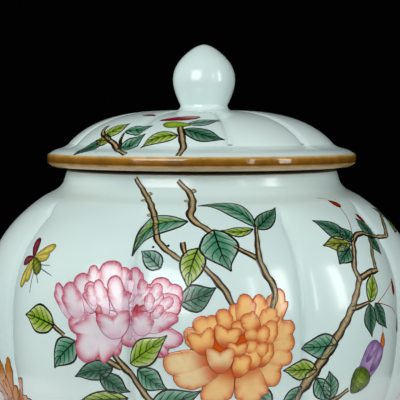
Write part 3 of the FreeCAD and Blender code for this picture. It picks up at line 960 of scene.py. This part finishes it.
LOOKS = {
    "leaves": enamel_material("leaf_enamel", 2.4, 0.22, 0.25, 1.8),
    "bark": enamel_material("bark_enamel", 0.9, 0.45, 0.38, 0.8),
    "petals": enamel_material("petal_enamel", 4.0, 0.10, 0.20, 3.0),
    "berries": enamel_material("berry_enamel", 1.6, 0.25, 0.20, 1.5),
    "ink": enamel_material("ink_enamel", 1.2, 0.3, 0.35, 1.0),
}


def paint_layers(rides, skin):
    return {kind: Enamel(f"{rides}_{kind}", skin, rides, look) for kind, look in LOOKS.items()}


def finish_layers(layers):
    for layer in layers.values():
        if layer.count:
            layer.finish()


def paint_jar():
    """The same picture on the front and, mirrored, on the back, with a smaller spray on each side."""
    layers = paint_layers("jar", body)
    for azimuth, mirror in ((0, 1), (180, -1)):
        face = Brush(body, layers, azimuth, mirror)
        hanging_stems(face)
        lower_sprig(face)
        right_bough(face)
        pink_peony(face, (-18, 75))
        orange_peony(face, (7, 90))
        bee(face, (-48, 55))
    flank_spray(Brush(body, layers, -94), (31, 136))
    flank_spray(Brush(body, layers, 92), (4, 122))
    finish_layers(layers)


def paint_lid():
    """Three sprays round the lid."""
    layers = paint_layers("lid", cover)
    for azimuth in (0, 150, 250):
        lid_spray(Brush(cover, layers, azimuth))
    finish_layers(layers)


paint_jar()
paint_lid()


# ------------------------------ stage

STAGE_GREY, STAGE_PALE = (0.62, 0.61, 0.60), (0.68, 0.67, 0.66)
STAGE_SIDES, STAGE_R, STAGE_THICK = 128, 240.0, 12.0
AIM_HEIGHT = 0.12                     # where every light faces the jar's axis, in metres
LENS, SENSOR = 99.2, 36.0             # in millimetres
CAMERA_X, CAMERA_Y = -0.0009, -0.578  # in metres
CAMERA_RISE, CAMERA_DIP = 20.5, 3.82  # height over the lid's brim, and degrees that it looks down


def stage_floor():
    """A pale round table top, about twice as wide as the jar."""
    material, tree, shader = new_material("pale_floor")
    colour = ramp(tree, noise(tree, 40.0).outputs["Fac"], [(0.3, STAGE_GREY), (0.7, STAGE_PALE)])
    tree.links.new(colour.outputs["Color"], shader.inputs["Base Color"])
    shader.inputs["Roughness"].default_value = 0.7
    n = STAGE_SIDES
    turn = np.linspace(0, 2 * np.pi, n, endpoint=False)
    rim = [(STAGE_R * math.cos(a), STAGE_R * math.sin(a)) for a in turn]
    points = [(x, y, 0.0) for x, y in rim] + [(x, y, -STAGE_THICK) for x, y in rim]
    faces = [tuple(range(n)), tuple(range(2 * n - 1, n - 1, -1))]
    faces += [(i, n + i, n + (i + 1) % n, (i + 1) % n) for i in range(n)]
    mesh = bpy.data.meshes.new("floor")
    mesh.from_pydata([tuple(c * MM for c in p) for p in points], [], faces)
    mesh.materials.append(material)
    floor = bpy.data.objects.new("floor", mesh)
    bpy.context.scene.collection.objects.link(floor)


def softbox(name, azimuth, distance, height, wide, tall, power, glossy=True):
    """Rectangular light that faces the jar's axis: azimuth in degrees, lengths in metres, power in watts."""
    light = bpy.data.lights.new(name, "AREA")
    light.shape = "RECTANGLE"
    light.size = wide
    light.size_y = tall
    light.energy = power
    lamp = bpy.data.objects.new(name, light)
    a = math.radians(azimuth)
    lamp.location = (distance * math.sin(a), -distance * math.cos(a), height)
    aim = math.atan2(height - AIM_HEIGHT, distance)
    lamp.rotation_euler = (math.pi / 2 - aim, 0, a)
    lamp.visible_glossy = glossy
    bpy.context.scene.collection.objects.link(lamp)


def lights():
    """Boxes whose reflections show in the glaze, and fills that only lighten the shadows."""
    softbox("left_box", -30, 0.9, 0.46, 0.62, 0.62, 6.2)
    softbox("right_box", 59, 0.9, 0.38, 0.16, 0.52, 1.6)
    softbox("right_strip", 34, 0.9, 0.38, 0.06, 0.52, 0.5)
    softbox("right_fill", 53, 0.9, 0.38, 0.24, 0.52, 3.0, glossy=False)
    softbox("left_fill", -95, 1.2, 0.5, 0.8, 0.8, 9.5, glossy=False)
    softbox("front_fill", 15, 1.2, 0.3, 0.8, 0.8, 1.3, glossy=False)
    softbox("top_fill", 0, 0.7, 1.4, 1.0, 1.0, 4.5, glossy=False)
    softbox("back_fill", 180, 1.2, 0.9, 1.0, 0.8, 8.0, glossy=False)
    world = bpy.data.worlds.new("studio")
    world.use_nodes = True
    world.node_tree.nodes["Background"].inputs["Color"].default_value = (0.0005, 0.0005, 0.0005, 1)
    bpy.context.scene.world = world
    bpy.context.scene.view_settings.view_transform = "Standard"


def camera():
    """A long lens in front of the jar, a little above the lid's brim and tipped down."""
    data = bpy.data.cameras.new("camera")
    data.lens = LENS
    data.sensor_width = SENSOR
    made = bpy.data.objects.new("camera", data)
    made.location = (CAMERA_X, CAMERA_Y, (LID_Z + CAMERA_RISE) * MM)
    made.rotation_euler = (math.radians(90 - CAMERA_DIP), 0, 0)
    bpy.context.scene.collection.objects.link(made)
    bpy.context.scene.camera = made


stage_floor()
lights()
camera()
